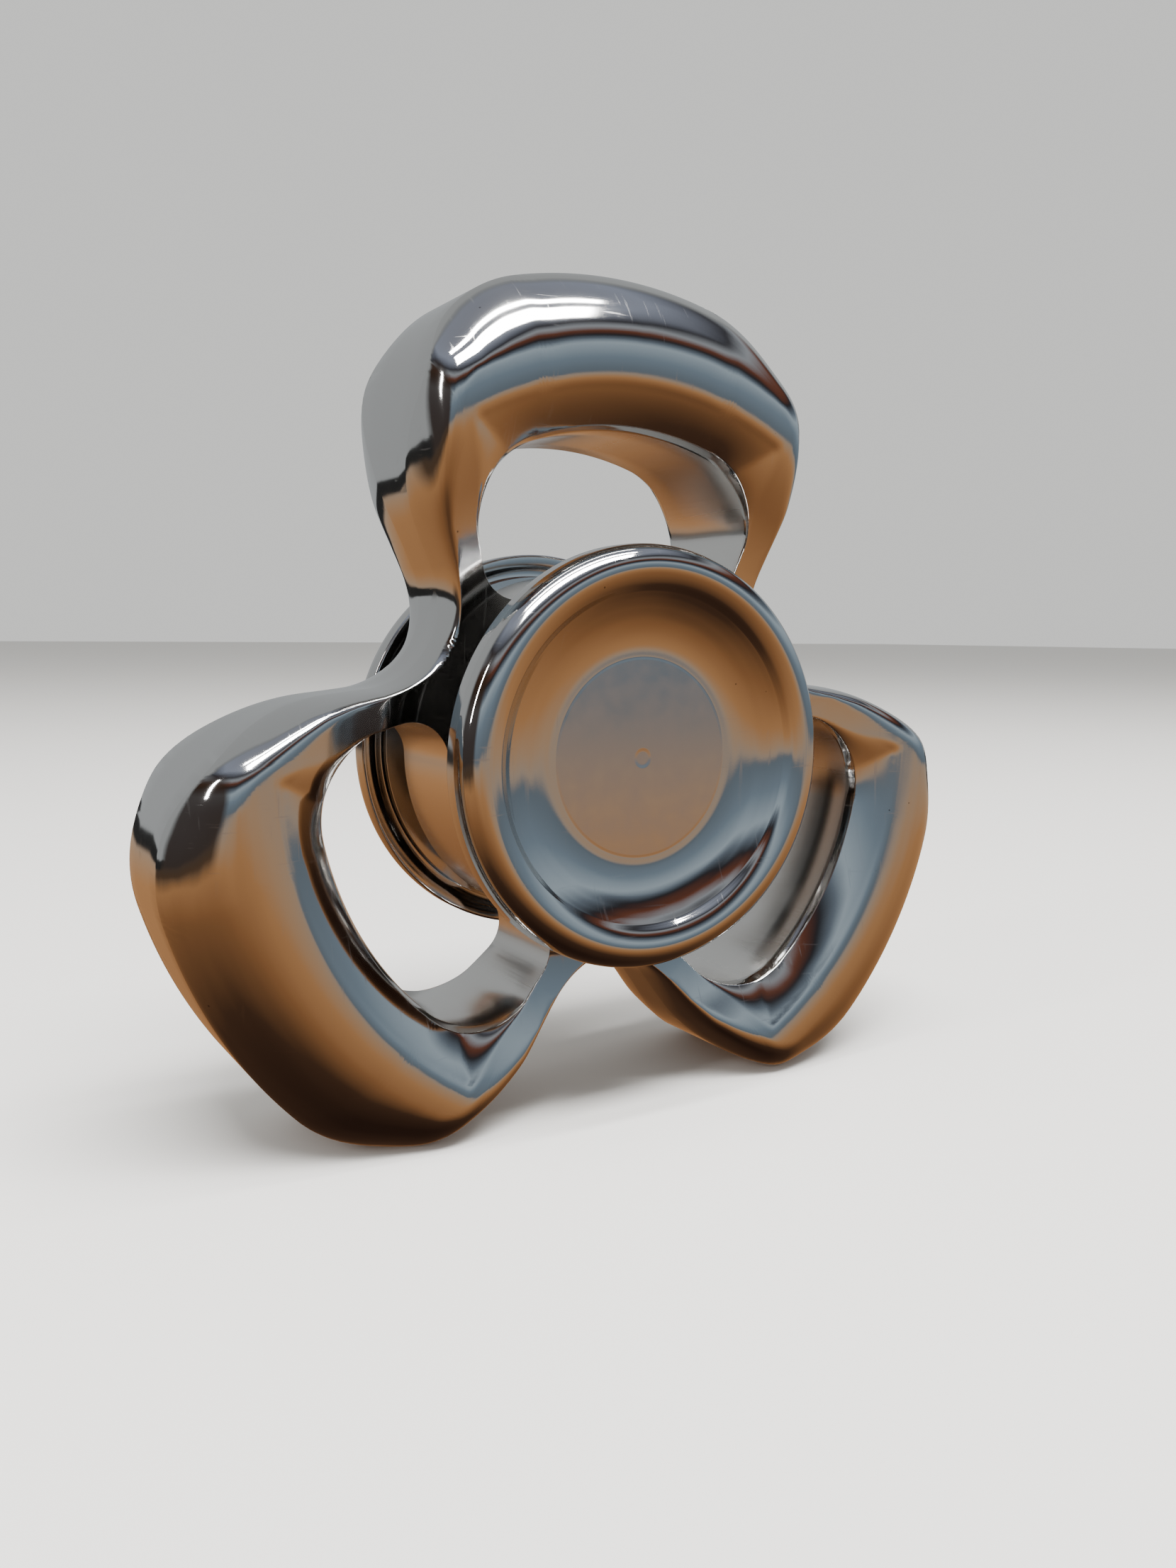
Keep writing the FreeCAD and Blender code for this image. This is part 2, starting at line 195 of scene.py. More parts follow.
ROW_LENGTH, ROW_TURN = 0.2, math.radians(8.0)  # one more row for this much length or bend
BLUR_PASSES = 6
MERGE = 2e-6  # m
SHARP = math.radians(32.0)
WALL_ROWS = 5


def curve_distance(points, line):
    """Distance from each point to a dense polyline."""
    out = np.empty(len(points))
    a, b = line[:-1], line[1:]
    size = (line ** 2).sum(1)
    for start in range(0, len(points), CHUNK):
        p = points[start:start + CHUNK]
        near = (size[None, :] - 2.0 * p @ line.T).argmin(1)
        best = np.sqrt(((p - line[near]) ** 2).sum(1))
        for side in (-1, 0):
            seg = np.clip(near + side, 0, len(a) - 1)
            d = b[seg] - a[seg]
            t = ((p - a[seg]) * d).sum(1) / np.maximum((d * d).sum(1), TINY_SQUARE)
            foot = a[seg] + d * np.clip(t, 0.0, 1.0)[:, None]
            best = np.minimum(best, np.sqrt(((p - foot) ** 2).sum(1)))
        out[start:start + CHUNK] = best
    return out


def inside(points, loop):
    """Whether each point lies inside a closed polyline."""
    hit = np.zeros(len(points), bool)
    x, y = points[:, 0], points[:, 1]
    for (x0, y0), (x1, y1) in zip(loop, np.roll(loop, -1, 0)):
        if y0 != y1:
            hit ^= ((y0 > y) != (y1 > y)) & (x < (x1 - x0) * (y - y0) / (y1 - y0) + x0)
    return hit


def smooth_min(a, b, k):
    """The lower of a and b, with the corner between them rounded over k."""
    h = np.maximum(k - np.abs(a - b), 0.0) / k
    return np.minimum(a, b) - h * h * k / 4.0


def step_up(x, low, high):
    """0 below low, 1 above high, and a smooth rise between."""
    t = np.clip((x - low) / (high - low), 0.0, 1.0)
    return t * t * (3.0 - 2.0 * t)


def dense(arcs):
    """A fine polyline along arcs and the straight runs between them."""
    lengths = [abs(math.radians(last - first)) * r for _, r, first, last in arcs]
    counts = [max(ARC_POINTS_MIN, int(length / LINE_STEP)) for length in lengths]
    return path(arcs, counts, [GAP_POINTS] * (len(arcs) - 1))


def both_sides(line):
    """A right half, from the middle outwards, with its mirror image before it."""
    return np.concatenate([line[::-1] * (-1.0, 1.0), line[1:]])


def three_lobes(line):
    """The closed outline of all lobes, from one lobe's right half."""
    lobe = both_sides(line)
    return np.concatenate([rotate(lobe, k * LOBE_STEP)[:-1] for k in range(LOBES)])


def near_lobe(loop):
    """The stretch of a three-lobe outline that the right half of the top lobe can be near."""
    angle = np.degrees(np.arctan2(loop[:, 0], loop[:, 1]))
    return loop[(angle > NEAR_FROM) & (angle < LOBE_STEP)]


RIM_LOOP = three_lobes(dense(rim_arcs(RIM)))
CREST_LOOP = three_lobes(dense(rim_arcs(CREST_OUT)))
WINDOW_LOOP = both_sides(dense(window_arcs(WINDOW)))
DISH_LOOP = both_sides(dense(window_arcs(CREST_IN)))


def cove_half(r):
    """Half thickness of the cove that climbs from the hub: an arc through three points, then straight."""
    x1, y1 = COVE_R, HUB_HALF
    x2, y2 = COVE_MID_R, COVE_MID_HALF
    x3, y3 = COVE_END_R, CREST_HALF
    m = np.array([[x2 - x1, y2 - y1], [x3 - x2, y3 - y2]]) * 2.0
    v = np.array([x2 ** 2 - x1 ** 2 + y2 ** 2 - y1 ** 2, x3 ** 2 - x2 ** 2 + y3 ** 2 - y2 ** 2])
    cx, cy = np.linalg.solve(m, v)
    radius = math.hypot(x1 - cx, y1 - cy)
    slope = (x3 - cx) / (cy - y3)
    curve = cy - np.sqrt(np.maximum(radius ** 2 - (np.clip(r, cx, x3) - cx) ** 2, 0.0))
    curve = np.where(r < x1, HUB_HALF, np.maximum(curve, HUB_HALF))
    return curve + slope * np.maximum(r - x3, 0.0)


def wall_half(points):
    """Half height of the side wall that plan points lie inwards of."""
    angle = np.degrees(np.arctan2(points[:, 0], points[:, 1]))
    plain = TIP_WALL_HALF + (NECK_WALL_HALF - TIP_WALL_HALF) * step_up(angle, NECK_FROM, NECK_TO)
    return plain + CORNER_GAIN * np.exp(-(((angle - CORNER_AT) / CORNER_SPREAD) ** 2))


def half_thickness(points):
    """Half thickness of the rotor at plan points in the right half of the top lobe."""
    d_rim = curve_distance(points, near_lobe(RIM_LOOP))
    d_crest = np.where(inside(points, CREST_LOOP), 0.0, curve_distance(points, near_lobe(CREST_LOOP)))
    wall = wall_half(points)
    q = d_rim / np.maximum(d_rim + d_crest, TINY)
    shoulder = wall + (CREST_HALF - wall) * np.maximum(1.0 - (1.0 - q) ** 2, 0.0) ** SHOULDER_POWER
    d_window = curve_distance(points, WINDOW_LOOP)
    d_dish = curve_distance(points, DISH_LOOP)
    share = d_window / np.maximum(d_window + d_dish, TINY)
    rise = np.interp(share, (0.0, LEDGE_SHARE, 1.0), (0.0, LEDGE_RISE, 1.0))
    dish = EDGE_HALF + (CREST_HALF - EDGE_HALF) * rise
    dish = np.where(inside(points, DISH_LOOP), dish, CREST_HALF + DISH_RUNOFF * d_dish)
    top = smooth_min(shoulder, cove_half(np.hypot(points[:, 0], points[:, 1])), COVE_BLEND)
    return smooth_min(top, dish, CREST_BLEND)


def spaced(section, count):
    """Sections, one per row, with count points each, closer together where they bend."""
    run = np.diff(section, axis=1)
    step = np.maximum(np.linalg.norm(run, axis=2), TINY)
    turn = np.linalg.norm(np.diff(run / step[:, :, None], axis=1), axis=2)
    turn = np.concatenate([turn[:, :1], (turn[:, 1:] + turn[:, :-1]) / 2.0, turn[:, -1:]], 1)
    weight = step / ROW_LENGTH + turn / ROW_TURN
    for _ in range(BLUR_PASSES):
        weight[1:-1] = (weight[:-2] + 2.0 * weight[1:-1] + weight[2:]) / 4.0
        weight[:, 1:-1] = (weight[:, :-2] + 2.0 * weight[:, 1:-1] + weight[:, 2:]) / 4.0
    total = np.concatenate([np.zeros((len(weight), 1)), weight.cumsum(1)], 1)
    at = np.linspace(0.0, 1.0, count)
    rows = []
    for t, line in zip(total, section):
        rows.append([np.interp(at, t / t[-1], line[:, axis]) for axis in range(3)])
    return np.array(rows).transpose(0, 2, 1)


def skin(bore_r):
    """Front skin of half a lobe: rows of points from the window's edge to the rim, seam or bore."""
    inner = path(window_arcs(WINDOW), WINDOW_COUNTS, WINDOW_GAPS)
    rim = path(rim_arcs(RIM), RIM_COUNTS, RIM_GAPS)
    half = math.radians(LOBE_STEP / 2.0)
    inwards = np.linspace(0.0, 1.0, SEAM_COUNT + 1)[1:, None] ** 2
    along = RIM["crotch_r"] + (bore_r - RIM["crotch_r"]) * inwards
    seam = along * np.array([[math.sin(half), math.cos(half)]])
    bore = arc((0.0, 0.0), bore_r, 90.0 - LOBE_STEP / 2.0, 90.0, BORE_COUNT)[1:]
    outer = np.concatenate([rim, seam, bore])
    share = (1.0 - np.cos(np.linspace(0.0, math.pi, FINE)))[None, :, None] / 2.0
    plan = inner[:, None, :] + (outer - inner)[:, None, :] * share
    half_y = half_thickness(plan.reshape(-1, 2)).reshape(len(inner), FINE)
    section = np.stack([plan[:, :, 0], -half_y, plan[:, :, 1]], 2)
    return spaced(section, ACROSS)


def turned(grid, half, lobe):
    """A grid from the top lobe's right half, on its left half if half is -1, and turned to another lobe."""
    a = math.radians(lobe * LOBE_STEP)
    c, s = math.cos(a), math.sin(a)
    u, w = grid[..., 0] * half, grid[..., 2]
    return np.stack([u * c + w * s, grid[..., 1], w * c - u * s], -1)


def solid(name, grids, materials):
    """An object from grids of points in mm, each with its material's index, joined where they touch."""
    points, faces, indices = [], [], []
    for grid, index in grids:
        rows, cols = grid.shape[:2]
        number = np.arange(rows * cols).reshape(rows, cols) + sum(len(p) for p in points)
        corners = [number[:-1, :-1], number[1:, :-1], number[1:, 1:], number[:-1, 1:]]
        quads = np.stack(corners, -1).reshape(-1, 4)
        points.append(grid.reshape(-1, 3) * MM)
        faces.append(quads)
        indices += [index] * len(quads)
    mesh = bpy.data.meshes.new(name)
    mesh.from_pydata(np.concatenate(points).tolist(), [], np.concatenate(faces).tolist())
    for material in materials:
        mesh.materials.append(material)
    mesh.polygons.foreach_set("material_index", indices)
    shape = bmesh.new()
    shape.from_mesh(mesh)
    bmesh.ops.remove_doubles(shape, verts=shape.verts, dist=MERGE)
    bmesh.ops.recalc_face_normals(shape, faces=shape.faces)
    shape.to_mesh(mesh)
    shape.free()
    mesh.polygons.foreach_set("use_smooth", [True] * len(mesh.polygons))
    mesh.set_sharp_from_angle(angle=SHARP)
    obj = bpy.data.objects.new(name, mesh)
    bpy.context.scene.collection.objects.link(obj)
    return obj


def between(first, last, rows):
    """A grid of rows from one line of points to another."""
    return first[None] + (last - first)[None] * np.linspace(0.0, 1.0, rows)[:, None, None]


def rotor(polished, milled, bored):
    """The one-piece rotor."""
    front = skin(SEAT_R)
    rear = skin(SEAT_LIP_R) * (1.0, -1.0, 1.0)
    rim = len(front) - SEAM_COUNT - BORE_COUNT + 1
    wall = between(front[:rim, -1], rear[:rim, -1], WALL_ROWS)
    window = between(front[:, 0], rear[:, 0], WALL_ROWS)
    groove_front = SEAT_HALF + GROOVE_DEPTH
    section = [
        (SEAT_R, -HUB_HALF),
        (SEAT_R, -groove_front),
        (GROOVE_R, -groove_front),
        (GROOVE_R, -SEAT_HALF),
        (SEAT_R, -SEAT_HALF),
        (SEAT_R, SEAT_HALF),
        (SEAT_LIP_R, SEAT_HALF),
        (SEAT_LIP_R, HUB_HALF),
    ]
    ring = arc((0.0, 0.0), 1.0, 90.0 - LOBE_STEP / 2.0, 90.0, BORE_COUNT)
    bore = np.array([[(u * r, y, w * r) for u, w in ring] for r, y in section])
    grids = []
    for half in (1.0, -1.0):
        for lobe in range(LOBES):
            for grid, index in ((front, 0), (rear, 0), (wall, 0), (window, 1), (bore, 2)):
                grids.append((turned(grid, half, lobe), index))
    return solid("rotor", grids, [polished, milled, bored])


# Buttons, in millimetres: radius, and distance from the mid plane
BUTTON_AROUND = 288
BUTTON_R = 12.0
PAD_R, PAD_HALF = 5.7, 6.5
STUD_R, STUD_DEPTH = 2.0, 4.9
SPIGOT_R, SPIGOT_END = 3.16, 0.15
BOSS_R, BOSS_ROOT_R, BOSS_END = 4.05, 5.2, 2.581
RECESS_R, RECESS_HALF = 8.2, 5.3
RIM_BACK_CUT = 0.12
RIM_SIDE_HALF = 6.85
BACK_HALF, RIM_BACK_HALF = 5.7, 5.9
LIP_R, LIP_BORE_R, LIP_GROOVE_HALF = 11.2, 10.6, 6.5
DOT_R, DOT_DEPTH, DOT_SLOPE = 0.45, 0.02, 0.1  # the mark left by the lathe's centre
PAD_SUPPORT, PAD_EDGE_CUT = 0.15, 0.08  # extra rings there keep the pad's shading flat
BOWL = [(5.7, 6.49), (6.35, 6.53), (7.1, 6.66), (7.85, 6.88), (8.5, 7.16), (9.0, 7.42), (9.4, 7.66)]
ROLL_TOP = [(9.5, 7.75), (9.8, 7.98), (10.2, 8.17), (10.6, 8.28), (11.0, 8.26)]
ROLL_SIDE = [(11.4, 8.08), (11.72, 7.76), (11.92, 7.35), (12.0, 6.9)]
BOWL_STEPS, ROLL_STEPS = 12, 10  # points between two of those
BACK_SOFTNESS = 0.05  # rounding of the turned corners


def spline(points, count):
    """A smooth curve through points, with the first and last headings of its straight ends."""
    p = np.array(points, float)
    p = np.concatenate([2.0 * p[:1] - p[1:2], p, 2.0 * p[-1:] - p[-2:-1]])
    t = np.linspace(0.0, 1.0, count, endpoint=False)[:, None]
    out = []
    for a, b, c, d in zip(p, p[1:], p[2:], p[3:]):
        slope = (c - a) * t
        bend = (2 * a - 5 * b + 4 * c - d) * t ** 2
        twist = (3 * b - a - 3 * c + d) * t ** 3
        out.append(0.5 * (2 * b + slope + bend + twist))
    return np.concatenate(out + [p[-2:-1]])


def softened(points, size):
    """A polyline with its corners cut round by three short steps of that size."""
    p = [np.array(q, float) for q in points]
    out = [p[0]]
    for before, here, after in zip(p, p[1:], p[2:]):
        back, on = before - here, after - here
        cut = min(size, np.linalg.norm(back) / 3.0, np.linalg.norm(on) / 3.0)
        first = here + back / np.linalg.norm(back) * cut
        last = here + on / np.linalg.norm(on) * cut
        out += [first, here * 0.5 + (first + last) * 0.25, last]
    return np.array(out + [p[-1]])


def button(name, side, polished, satin, dark):
    """One finger button; side is -1 at the front and 1 at the rear."""
    pad = [
        (0.0, PAD_HALF - DOT_DEPTH),
        (DOT_R - DOT_SLOPE, PAD_HALF - DOT_DEPTH),
        (DOT_R, PAD_HALF - DOT_DEPTH),
        (DOT_R + DOT_SLOPE, PAD_HALF),
        (DOT_R + PAD_SUPPORT, PAD_HALF),
        (PAD_R - PAD_SUPPORT, PAD_HALF),
        (PAD_R - PAD_EDGE_CUT, PAD_HALF),
    ]
    front = np.concatenate([pad, spline(BOWL, BOWL_STEPS), spline(ROLL_TOP + ROLL_SIDE, ROLL_STEPS)])
    back = softened(
        [
            (BUTTON_R, RIM_SIDE_HALF),
            (BUTTON_R, RIM_BACK_HALF + RIM_BACK_CUT),
            (BUTTON_R - RIM_BACK_CUT, RIM_BACK_HALF),
            (LIP_R, RIM_BACK_HALF),
            (LIP_R, LIP_GROOVE_HALF),
            (LIP_BORE_R, LIP_GROOVE_HALF),
            (LIP_BORE_R, BACK_HALF),
            (RECESS_R, BACK_HALF),
            (RECESS_R, RECESS_HALF),
            (BOSS_ROOT_R, RECESS_HALF),
            (BOSS_R, RECESS_HALF - (BOSS_ROOT_R - BOSS_R)),
            (BOSS_R, BOSS_END),
            (SPIGOT_R, BOSS_END),
            (SPIGOT_R, SPIGOT_END),
            (STUD_R, SPIGOT_END),
            (STUD_R, STUD_DEPTH),
            (0.0, STUD_DEPTH),
        ],
        BACK_SOFTNESS,
    )
    angle = np.linspace(0.0, 2.0 * math.pi, BUTTON_AROUND + 1)
    flat, dished = front[: len(pad) + 1], front[len(pad):]
    hidden = np.concatenate([front[-1:], back])
    sections = []
    for profile, index in ((flat, 1), (dished, 0), (hidden, 2)):
        grid = [[(r * math.sin(a), side * half, r * math.cos(a)) for a in angle] for r, half in profile]
        sections.append((np.array(grid), index))
    return solid(name, sections, [polished, satin, dark])


# Materials
def node(tree, kind, inputs=(), **settings):
    """A node with its settings, and inputs set to values or linked to sockets."""
    made = tree.nodes.new(kind)
    for key, value in settings.items():
        setattr(made, key, value)
    for key, value in dict(inputs).items():
        if isinstance(value, bpy.types.NodeSocket):
            tree.links.new(value, made.inputs[key])
        else:
            made.inputs[key].default_value = value
    return made


def shader(name, colour, roughness):
    """A new metal material: its tree and its principled shader."""
    material = bpy.data.materials.new(name)
    material.use_nodes = True
    tree = material.node_tree
    metal = tree.nodes["Principled BSDF"]
    metal.inputs["Metallic"].default_value = 1.0
    metal.inputs["Base Color"].default_value = (*colour, 1.0)
    metal.inputs["Roughness"].default_value = roughness
    return material, tree, metal


def place(tree, scale=(1.0, 1.0, 1.0)):
    """Coordinates fixed to the object, in millimetres times scale."""
    coordinates = node(tree, "ShaderNodeTexCoord").outputs["Object"]
    inputs = {"Vector": coordinates, "Scale": [MM_PER_M * s for s in scale]}
    return node(tree, "ShaderNodeMapping", inputs).outputs[0]


def noise(tree, vector, scale, detail=3.0, dims="3D"):
    """Noise from 0 to 1 at a vector, or at one distance where dims is 1D."""
    inputs = {"Scale": scale, "Detail": detail}
    inputs["W" if dims == "1D" else "Vector"] = vector
    return node(tree, "ShaderNodeTexNoise", inputs, noise_dimensions=dims).outputs["Fac"]


def ranged(tree, value, low, high, to_low, to_high):
    """A value carried from the range low to high over to another range, and held at its ends."""
    inputs = {"Value": value, "From Min": low, "From Max": high, "To Min": to_low, "To Max": to_high}
    return node(tree, "ShaderNodeMapRange", inputs).outputs[0]


def maths(tree, operation, *values):
    """The result of a math node on its two or three values."""
    return node(tree, "ShaderNodeMath", dict(enumerate(values)), operation=operation).outputs[0]


def blend(tree, share, low, high):
    """A colour between low and high, by a share from 0 to 1."""
    return node(tree, "ShaderNodeMix", {0: share, 6: low, 7: high}, data_type="RGBA").outputs[2]


def bump(tree, height, distance, strength=1.0, under=None):
    """A bump of that depth in millimetres, over another bump if one is given."""
    inputs = {"Height": height, "Distance": distance * MM, "Strength": strength}
    if under is not None:
        inputs["Normal"] = under
    return node(tree, "ShaderNodeBump", inputs).outputs[0]


def radius(tree):
    """Distance from the spin axis, in millimetres."""
    parts = node(tree, "ShaderNodeSeparateXYZ", {0: place(tree)}).outputs
    flat = node(tree, "ShaderNodeCombineXYZ", {0: parts[0], 1: parts[2]}).outputs[0]
    return node(tree, "ShaderNodeVectorMath", {0: flat}, operation="LENGTH").outputs["Value"]


STEEL = (0.60, 0.59, 0.575)
DARK_STEEL = (0.47, 0.46, 0.45)
PALE_STEEL = (0.74, 0.72, 0.69)
PIT_COLOUR = (0.12, 0.10, 0.09, 1.0)
SCRATCH_ROUGHNESS = 0.08
# how dense each mark is along X, Y and Z: the lower, the longer it is drawn out
SCRATCH_STRETCH, CROSS_STRETCH = (3.0, 0.35, 0.22), (0.2, 0.5, 3.4)
STROKE_STRETCH, CHATTER_STRETCH, UNEVEN_STRETCH = (1.0, 0.03, 1.0), (1.0, 0.25, 1.0), (1.0, 0.1, 1.0)


def polished_steel(name, colour=STEEL, roughness=0.07, waviness=0.004):
    """Mirror-polished steel: faint waviness, smudges, hairline scratches and a few dark pits."""
    material, tree, metal = shader(name, colour, roughness)
    here = place(tree)
    smudge = noise(tree, here, scale=0.22, detail=5.0)
    metal_rough = ranged(tree, smudge, 0.35, 0.75, roughness * 0.7, roughness * 1.7)
    scratch = noise(tree, place(tree, SCRATCH_STRETCH), scale=1.4, detail=2.0)
    cross = noise(tree, place(tree, CROSS_STRETCH), scale=1.3, detail=2.0)
    line = ranged(tree, scratch, 0.66, 0.70, 0.0, 1.0)
    other = ranged(tree, cross, 0.68, 0.72, 0.0, 1.0)
    lines = maths(tree, "MAXIMUM", line, other)
    scratched = maths(tree, "MULTIPLY_ADD", lines, SCRATCH_ROUGHNESS, metal_rough)
    tree.links.new(scratched, metal.inputs["Roughness"])
    pits = node(tree, "ShaderNodeTexVoronoi", {"Vector": here, "Scale": 0.42}).outputs["Distance"]
    pit = ranged(tree, pits, 0.018, 0.03, 0.35, 1.0)
    tree.links.new(blend(tree, pit, PIT_COLOUR, (*colour, 1.0)), metal.inputs["Base Color"])
    wave = bump(tree, noise(tree, here, scale=0.35, detail=1.0), waviness)
    grain = bump(tree, noise(tree, here, scale=9.0, detail=2.0), distance=0.0003, under=wave)
    tree.links.new(grain, metal.inputs["Normal"])
    return material


def turned_steel(name, colour=STEEL, roughness=0.2, ring=3.5, depth=0.0002):
    """Satin steel off the lathe: fine rings round the axis, and a slight mottle."""
    material, tree, metal = shader(name, colour, roughness)
    r = radius(tree)
    rings = noise(tree, r, ring, detail=4.0, dims="1D")
    mottle = noise(tree, place(tree), scale=0.9, detail=5.0)
    mottled = ranged(tree, mottle, 0.3, 0.75, roughness * 0.8, roughness * 1.3)
    tree.links.new(mottled, metal.inputs["Roughness"])
    under = bump(tree, mottle, distance=0.0004)
    tree.links.new(bump(tree, rings, depth, under=under), metal.inputs["Normal"])
    return material


def milled_steel(name, colour=PALE_STEEL, roughness=0.24):
    """A cutter's marks along the axis, uneven round the window."""
    material, tree, metal = shader(name, colour, roughness)
    strokes = noise(tree, place(tree, STROKE_STRETCH), scale=4.2)
    chatter = noise(tree, place(tree, CHATTER_STRETCH), scale=0.8)
    uneven = noise(tree, place(tree, UNEVEN_STRETCH), scale=0.16, detail=1.0)
    patch = ranged(tree, uneven, 0.42, 0.58, 0.15, 1.0)
    depth = maths(tree, "MULTIPLY", strokes, patch)
    under = bump(tree, chatter, distance=0.006)
    tree.links.new(bump(tree, depth, distance=0.010, under=under), metal.inputs["Normal"])
    patchy = ranged(tree, patch, 0.0, 1.0, roughness * 0.7, roughness * 1.4)
    tree.links.new(patchy, metal.inputs["Roughness"])
    return material


polished = polished_steel("rotor_polished")
milled = milled_steel("rotor_milled")
bored = turned_steel("rotor_bored", DARK_STEEL, 0.2)
button_polished = polished_steel("button_polished", roughness=0.06, waviness=0.002)
button_pad = turned_steel("button_pad")
button_back = turned_steel("button_back", roughness=0.12, ring=2.0, depth=0.0008)

rotor_piece = rotor(polished, milled, bored)
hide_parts("rotor_frame")
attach(rotor_piece, "rotor")
for node_name, side in (("front_button", -1.0), ("rear_button", 1.0)):
    piece_name = node_name.replace("button", "finger_button")
    piece = button(piece_name, side, button_polished, button_pad, button_back)
    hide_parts(node_name)
    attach(piece, "buttons")

FINISHES = {
    "bearing_outer_race": turned_steel("outer_race_ground", roughness=0.12, ring=6.0, depth=0.0006),
    "bearing_inner_race": turned_steel("inner_race_ground", roughness=0.12, ring=6.0, depth=0.0006),
    "front_shim": turned_steel("shim_ground", DARK_STEEL, ring=5.0, depth=0.0006),
    "front_shield": turned_steel("shield_pressed", ring=1.4, depth=0.002),
    "front_shield_clip": polished_steel("clip_wire", DARK_STEEL, 0.16),
    "bearing_retaining_ring": polished_steel("retaining_ring_spring", DARK_STEEL, 0.18),
    "ball_cage": turned_steel("cage_pressed", roughness=0.22, ring=1.2, depth=0.002),
    "ball_01": polished_steel("ball_lapped", roughness=0.05),
    "button_stud": milled_steel("stud_turned", DARK_STEEL, 0.25),
}
SAME_AS = {"rear_" + part: "front_" + part for part in ("shim", "shield", "shield_clip")}
SAME_AS.update({"ball_%02d" % number: "ball_01" for number in range(2, 11)})
for name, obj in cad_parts.items():
    finish = FINISHES.get(SAME_AS.get(name, name))
    if finish:
        for material_slot in obj.material_slots:
            material_slot.material = finish

# Camera
AZIMUTH, ELEVATION, ROLL = -0.5502, 0.1221, 0.0081  # radians
EYE = Vector((-38.9717, -64.0958, 7.0164)) * MM
FOCAL_OVER_HEIGHT = 0.783
back = Vector((
    math.sin(AZIMUTH) * math.cos(ELEVATION),
    -math.cos(AZIMUTH) * math.cos(ELEVATION),
    math.sin(ELEVATION),
))
level = (-back).cross(Vector((0.0, 0.0, 1.0))).normalized()
upright = level.cross(-back)
right = level * math.cos(ROLL) + upright * math.sin(ROLL)
up = upright * math.cos(ROLL) - level * math.sin(ROLL)
lens = bpy.data.cameras.new("camera")
lens.sensor_fit = "VERTICAL"
lens.sensor_height = 36.0
lens.lens = lens.sensor_height * FOCAL_OVER_HEIGHT
lens.clip_start = 0.001
camera = bpy.data.objects.new("camera", lens)
camera.matrix_world = Matrix.Translation(EYE) @ Matrix((right, up, back)).transposed().to_4x4()
bpy.context.scene.collection.objects.link(camera)
bpy.context.scene.camera = camera

# Floor and light
FLOOR_SIZE = 6.0
floor_z = cad_box[0][2]
bpy.ops.mesh.primitive_plane_add(size=FLOOR_SIZE, location=(0.0, 0.0, floor_z))
floor = bpy.context.object
floor.name = "floor"
paint = bpy.data.materials.new("floor_paper")
paint.use_nodes = True
paper = paint.node_tree.nodes["Principled BSDF"]
paper.inputs["Base Color"].default_value = (0.74, 0.72, 0.69, 1.0)
paper.inputs["Roughness"].default_value = 0.9
floor.data.materials.append(paint)
floor.visible_glossy = False


def softbox(name, position, width, height, power):
    """A rectangular white soft light that the polished metal mirrors, aimed at the bearing's centre."""
    data = bpy.data.lights.new(name, "AREA")
    data.shape = "RECTANGLE"
    data.size, data.size_y = width, height
    data.energy = power
    lamp = bpy.data.objects.new(name, data)
    lamp.location = position
    lamp.rotation_euler = (Vector() - Vector(position)).to_track_quat("-Z", "Y").to_euler()
    lamp.visible_camera = False
    bpy.context.scene.collection.objects.link(lamp)


softbox("overhead_broad", (0.00, -0.20, 0.42), width=0.42, height=0.12, power=5.4)
softbox("overhead_narrow", (0.00, -0.07, 0.42), width=0.40, height=0.035, power=1.7)
softbox("left_strip", (-0.42, -0.06, 0.20), width=0.03, height=0.20, power=0.5)

BAND_WAVINESS = 0.10
SCREEN_COLOUR = (0.05, 0.03, 0.02, 1.0)
SKIRTING_COLOUR = (0.03, 0.03, 0.03, 1.0)
WALL_COLOUR = (0.44, 0.46, 0.47, 1.0)
PLAIN_COLOUR = (0.80, 0.80, 0.78, 1.0)
world = bpy.data.worlds.new("studio")
world.use_nodes = True
bpy.context.scene.world = world
sky = world.node_tree
shade = sky.nodes["Background"]
heading = node(sky, "ShaderNodeTexCoord").outputs["Generated"]
spread = node(sky, "ShaderNodeSeparateXYZ", {0: heading})
uneven = noise(sky, heading, scale=2.4, detail=2.0)
climb = maths(sky, "MULTIPLY_ADD", uneven, BAND_WAVINESS, spread.outputs[2])
ramp = node(sky, "ShaderNodeValToRGB", {0: ranged(sky, climb, -0.95, 1.05, 0.0, 1.0)})
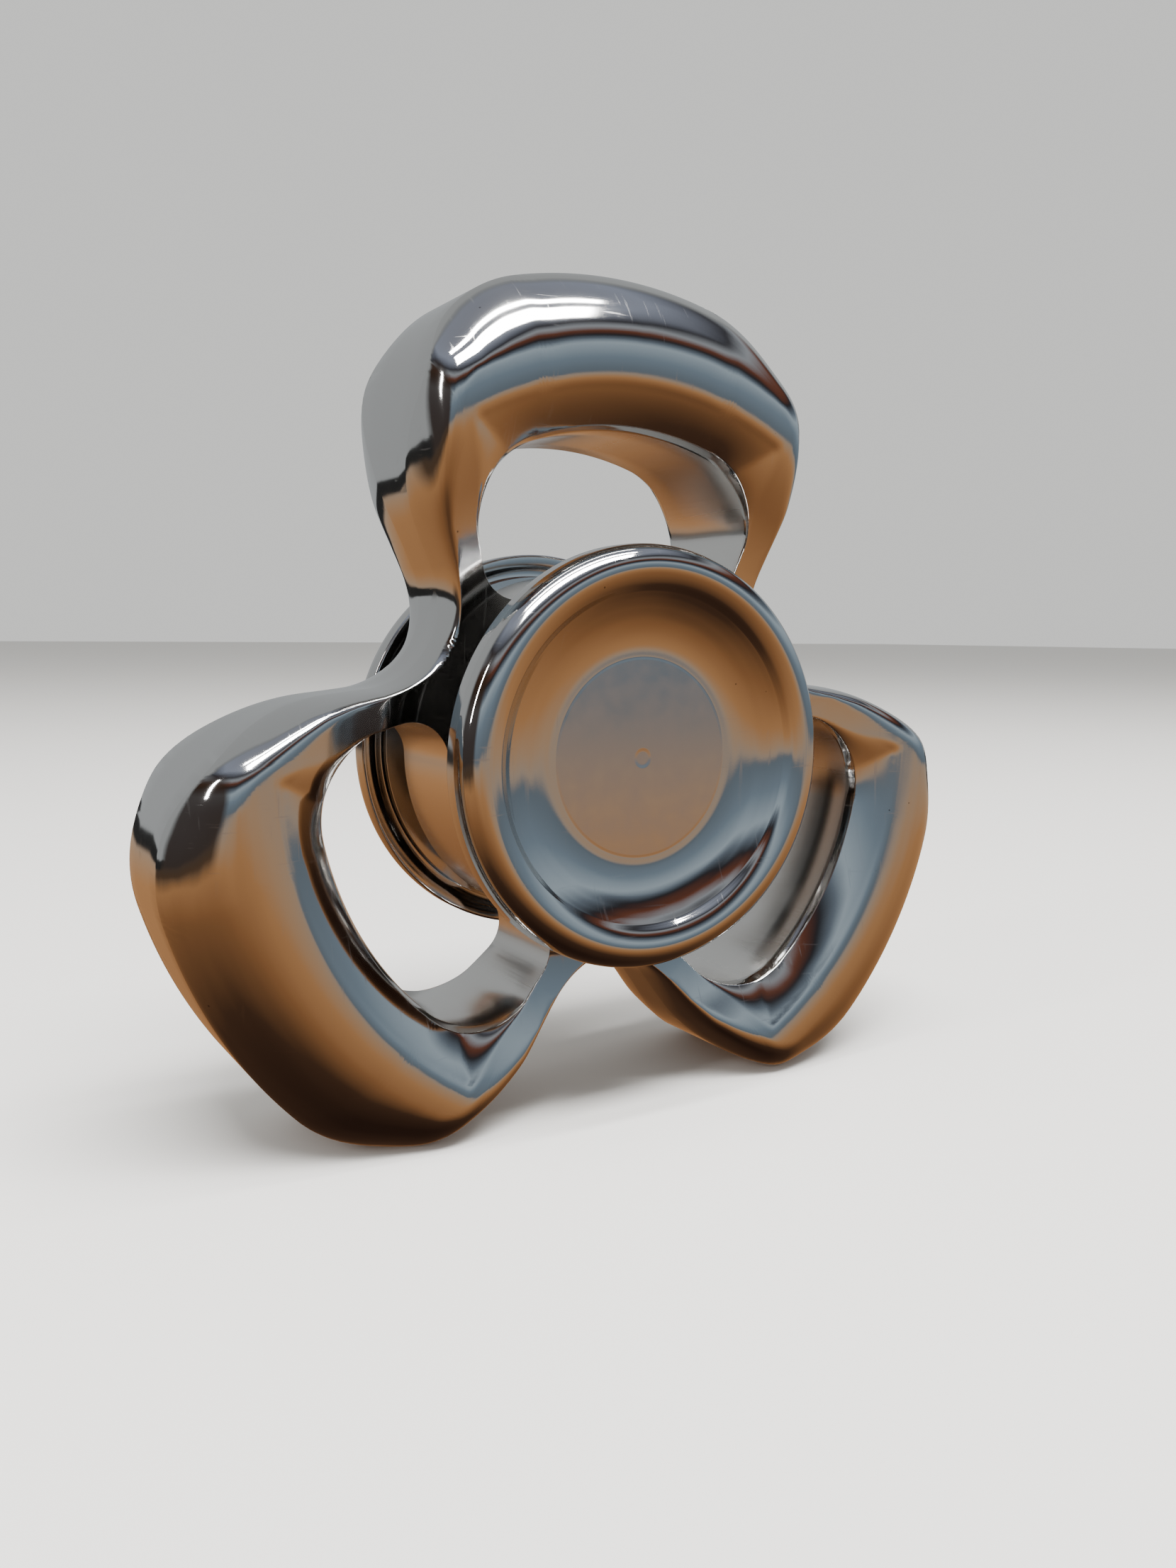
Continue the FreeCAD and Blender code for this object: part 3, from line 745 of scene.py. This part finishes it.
# sine of the height above the horizon, and the colour there; the colours between are blended
BANDS = (
    (-1.0, (0.03, 0.015, 0.01)),
    (-0.75, (0.07, 0.035, 0.02)),
    (-0.45, (0.33, 0.15, 0.06)),
    (-0.22, (0.54, 0.27, 0.115)),
    (-0.13, (0.52, 0.34, 0.21)),
    (-0.09, (0.46, 0.36, 0.28)),
    (-0.06, (0.16, 0.20, 0.24)),
    (0.10, (0.22, 0.29, 0.36)),
    (0.28, (0.44, 0.54, 0.62)),
    (0.36, (0.16, 0.20, 0.25)),
    (0.44, (0.03, 0.03, 0.035)),
    (0.52, (0.17, 0.06, 0.035)),
    (0.60, (0.38, 0.41, 0.45)),
    (0.68, (0.05, 0.05, 0.06)),
    (0.82, (0.34, 0.38, 0.48)),
    (1.0, (0.30, 0.32, 0.38)),
)
stops = ramp.color_ramp.elements
while len(stops) < len(BANDS):
    stops.new(0.5)
for stop, (sine, colour) in zip(stops, BANDS):
    stop.position = (sine + 1.0) / 2.0
    stop.color = (*colour, 1.0)
# a dark screen to the left, seen in the ridges, and a pale wall behind, seen in the side walls
screen_foot = ranged(sky, climb, -0.22, -0.10, 0.0, 0.9)
screened = maths(sky, "MULTIPLY", ranged(sky, spread.outputs[0], -0.66, -0.80, 0.0, 1.0), screen_foot)
behind = ranged(sky, spread.outputs[1], 0.30, 0.45, 0.0, 1.0)
above = ranged(sky, climb, 0.02, 0.03, 0.0, 1.0)
skirted = maths(sky, "MULTIPLY", behind, ranged(sky, climb, -0.06, -0.04, 0.0, 1.0))
walled = maths(sky, "MULTIPLY", behind, above)
room = blend(sky, screened, ramp.outputs[0], SCREEN_COLOUR)
room = blend(sky, skirted, room, SKIRTING_COLOUR)
room = blend(sky, walled, room, WALL_COLOUR)
# the background that is seen, and the light on the floor, are plain and pale
rays = node(sky, "ShaderNodeLightPath")
plain = maths(sky, "MAXIMUM", rays.outputs["Is Camera Ray"], rays.outputs["Is Diffuse Ray"])
sky.links.new(blend(sky, plain, room, PLAIN_COLOUR), shade.inputs[0])
